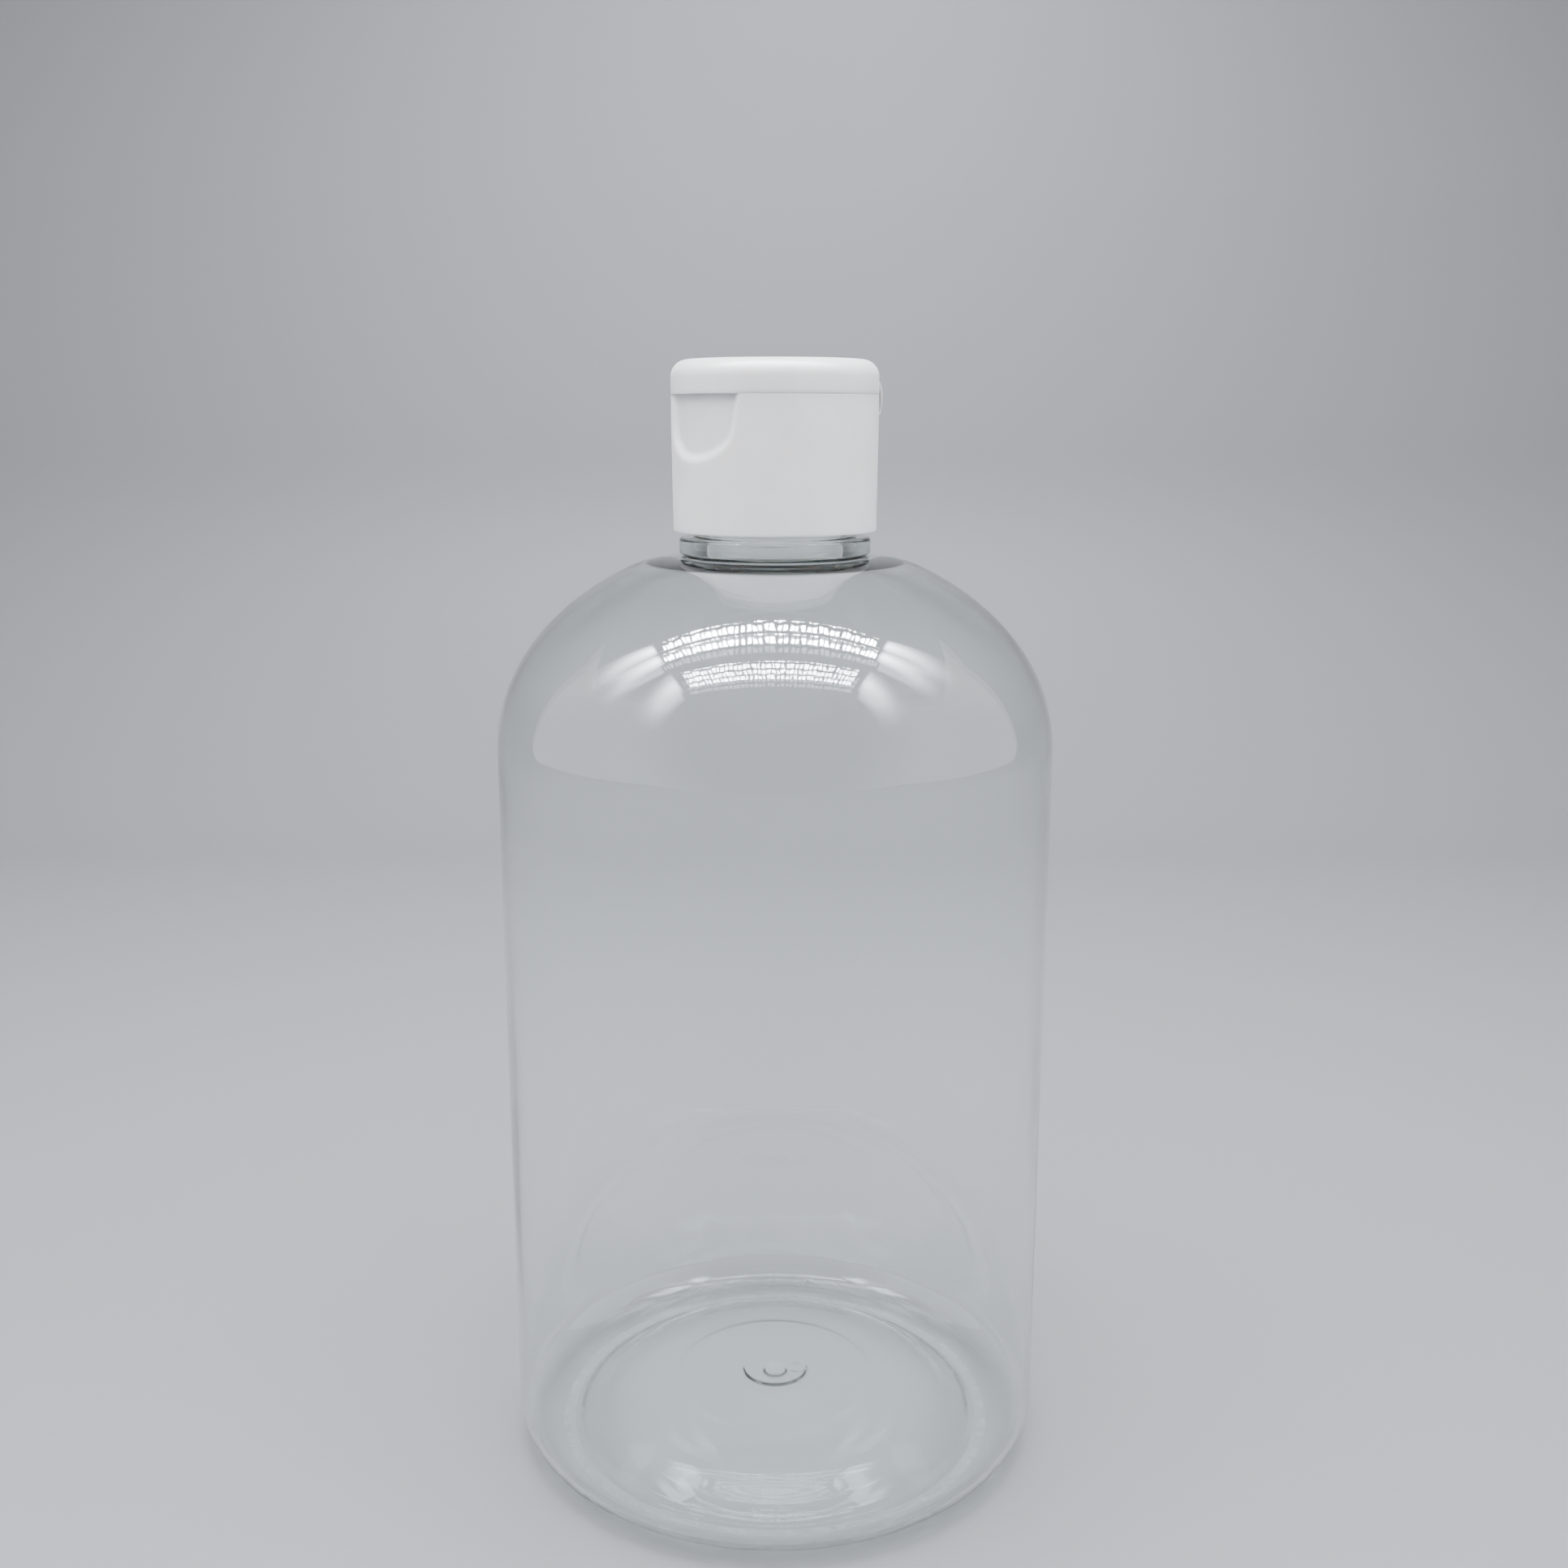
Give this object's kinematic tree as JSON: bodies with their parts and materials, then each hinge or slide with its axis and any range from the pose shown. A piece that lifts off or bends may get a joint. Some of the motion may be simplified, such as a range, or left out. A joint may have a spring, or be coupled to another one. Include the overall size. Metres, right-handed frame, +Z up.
{
  "type": "shampoo bottle",
  "caption": "Clear round bottle with domed shoulders, a pushed-up base and a white flip-top dispensing cap screwed on its neck.",
  "frame": {"origin": "on the bottle's axis, in the plane it stands on", "axes": "+Z up along the bottle's axis; the cap's thumb recess faces -Y and its living hinge is at +Y"},
  "size_m": [0.076, 0.076, 0.1538],
  "materials": {
    "clear_pet": "clear gloss",
    "white_pp": "smooth moulded",
    "foam_liner": "matte foam"
  },
  "bodies": {
    "bottle": {"bottle": "clear_pet"},
    "liner": {"sealing_washer": "foam_liner"},
    "cap": {"cap_base": "white_pp", "hinge_film": "white_pp", "hinge_wing_left": "white_pp", "hinge_wing_right": "white_pp"},
    "lid": {"flip_lid": "white_pp"}
  },
  "joints": [
    {"name": "cap_rise", "type": "slide", "parent": "bottle", "child": "liner", "axis": [0, 0, 1], "range_m": [0, 0.01906]},
    {"name": "cap_turn", "type": "hinge", "parent": "liner", "child": "cap", "pos_m": [0, 0, 0.1396], "axis": [0, 0, 1], "range_deg": [0, 2160]},
    {"name": "lid_flip", "type": "hinge", "parent": "cap", "child": "lid", "pos_m": [0, 0.01395, 0.149], "axis": [-1, 0, 0], "range_deg": [0, 150], "deforming": ["hinge_film", "hinge_wing_left", "hinge_wing_right"]}
  ],
  "couplings": [
    {"joint": "cap_rise", "follows": "cap_turn", "m_per_rad": 0.00050532}
  ]
}
